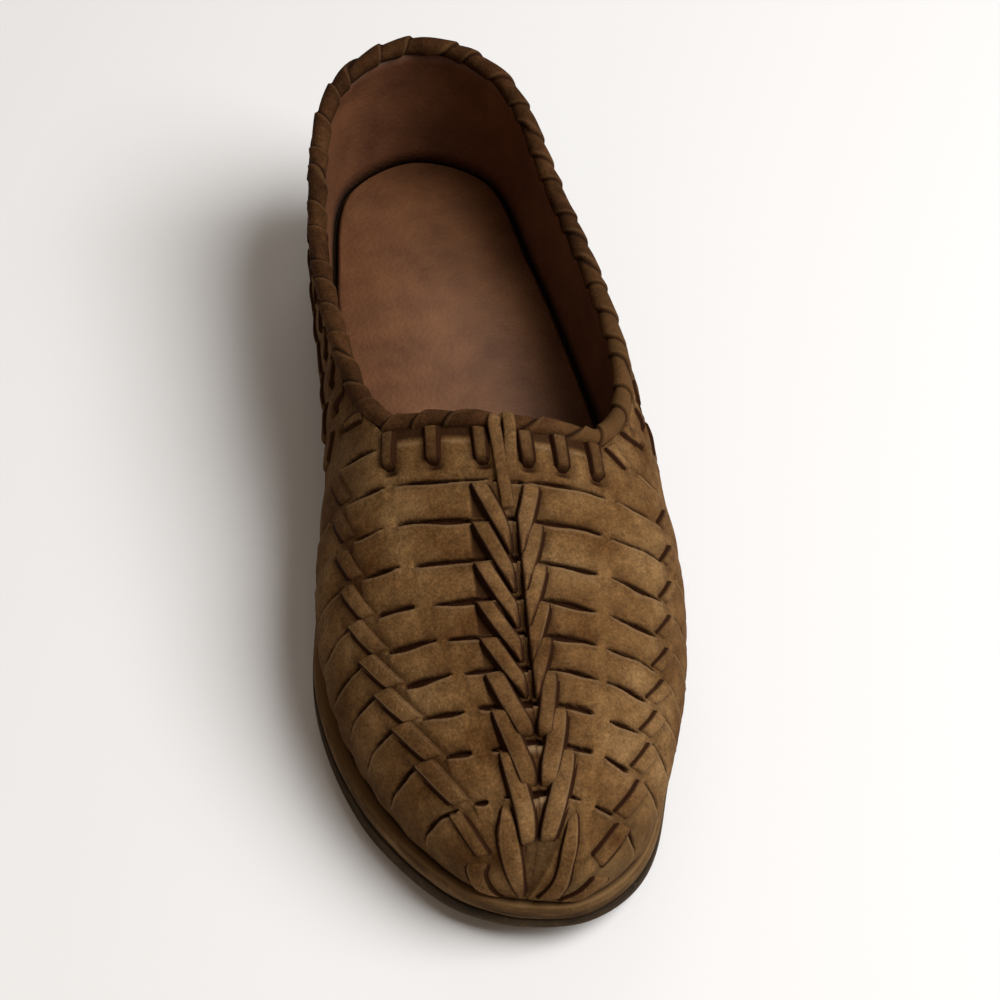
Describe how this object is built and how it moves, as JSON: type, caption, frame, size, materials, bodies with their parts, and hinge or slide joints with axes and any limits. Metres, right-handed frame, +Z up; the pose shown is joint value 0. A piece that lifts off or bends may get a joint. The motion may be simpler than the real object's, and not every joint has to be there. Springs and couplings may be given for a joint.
{
  "type": "slip-on flat",
  "caption": "Woven leather slip-on flat with a closed toe and back, a laced centre braid, a whipped topline and a low-heeled layered sole.",
  "frame": {"origin": "on the floor, under the middle of the shoe's bounding box", "axes": "+Z up, +Y from the toe toward the heel, +X toward the outer side of the wearer's left foot"},
  "size_m": [0.088, 0.2406, 0.0611],
  "materials": {
    "upper": "brown nubuck, matt",
    "binding": "brown leather, matt",
    "midsole": "worn stacked leather, matt",
    "outsole": "dark brown, matt",
    "insole": "reddish brown, smooth"
  },
  "bodies": {
    "root": {"outsole": "outsole", "midsole": "midsole", "insole": "insole", "upper": "upper", "collar_binding": "binding"}
  },
  "joints": []
}
